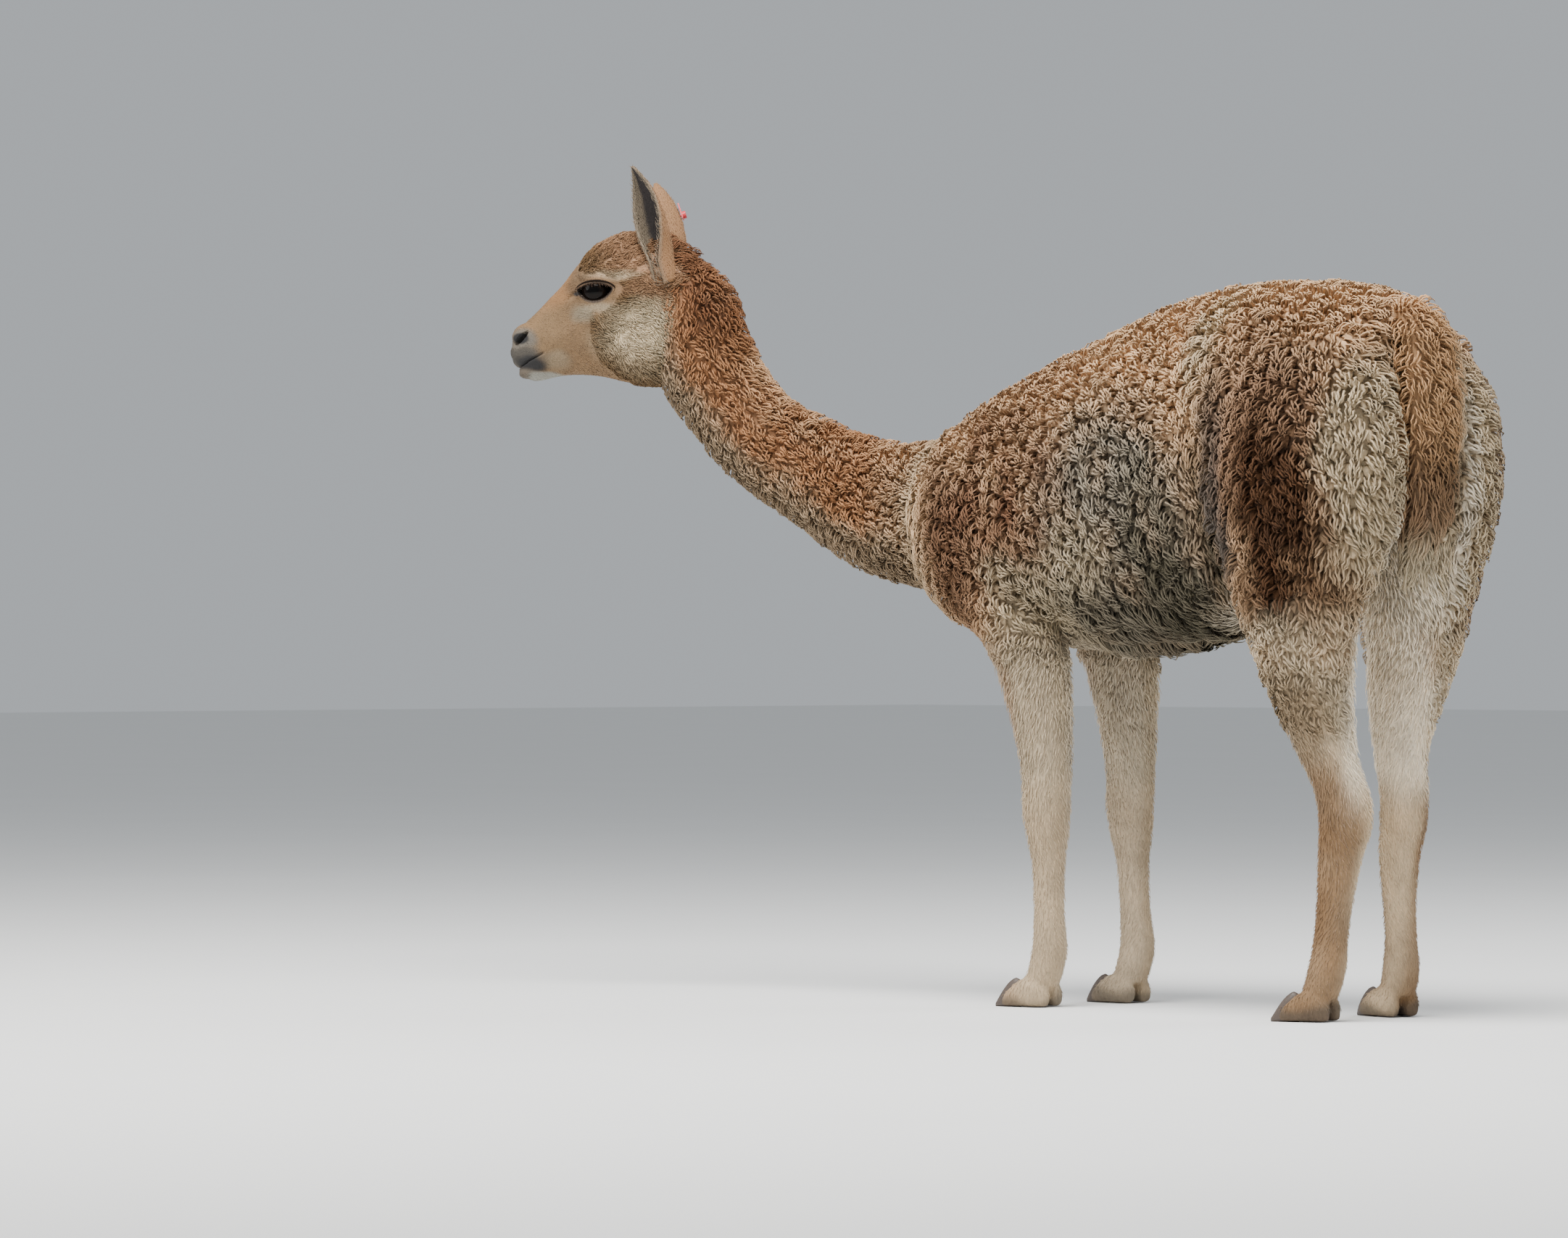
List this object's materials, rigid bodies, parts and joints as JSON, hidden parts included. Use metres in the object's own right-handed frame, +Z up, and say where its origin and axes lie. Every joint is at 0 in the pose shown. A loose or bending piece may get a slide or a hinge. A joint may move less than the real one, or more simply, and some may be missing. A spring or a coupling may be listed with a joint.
{
  "type": "vicuna",
  "caption": "Life-size standing vicuna with a curly fleece, long neck carried low, head turned to the left and a blank tag in the right ear.",
  "frame": {"origin": "on the floor under the centre of the model's bounding box", "axes": "+X points to the tail and -X where the body faces; +Y is the animal's right and -Y its left; +Z up"},
  "size_m": [1.4303, 0.4547, 1.1001],
  "materials": {
    "wool": "matted curly fleece, cinnamon to dirty white, matte",
    "short_coat": "short cream to tan coat, matte",
    "eye_gloss": "nearly black, wet gloss",
    "horn": "dark horn, satin",
    "red_plastic": "red moulded plastic, blank"
  },
  "bodies": {
    "root": {"barrel": "wool", "chest": "wool", "ear_left": "short_coat", "ear_right": "short_coat", "ear_tag": "red_plastic", "eye_left": "eye_gloss", "eye_right": "eye_gloss", "foot_fore_left": "short_coat", "foot_fore_right": "short_coat", "foot_hind_left": "short_coat", "foot_hind_right": "short_coat", "forearm_left": "short_coat", "forearm_right": "short_coat", "gaskin_left": "wool", "gaskin_right": "wool", "head": "short_coat", "hock_left": "short_coat", "hock_right": "short_coat", "knee_left": "short_coat", "knee_right": "short_coat", "nail_fore_left_inner": "horn", "nail_fore_left_outer": "horn", "nail_fore_right_inner": "horn", "nail_fore_right_outer": "horn", "nail_hind_left_inner": "horn", "nail_hind_left_outer": "horn", "nail_hind_right_inner": "horn", "nail_hind_right_outer": "horn", "neck_lower": "wool", "neck_middle": "wool", "neck_upper": "wool", "rump": "wool", "tail": "wool", "thigh_left": "wool", "thigh_right": "wool"}
  },
  "joints": []
}
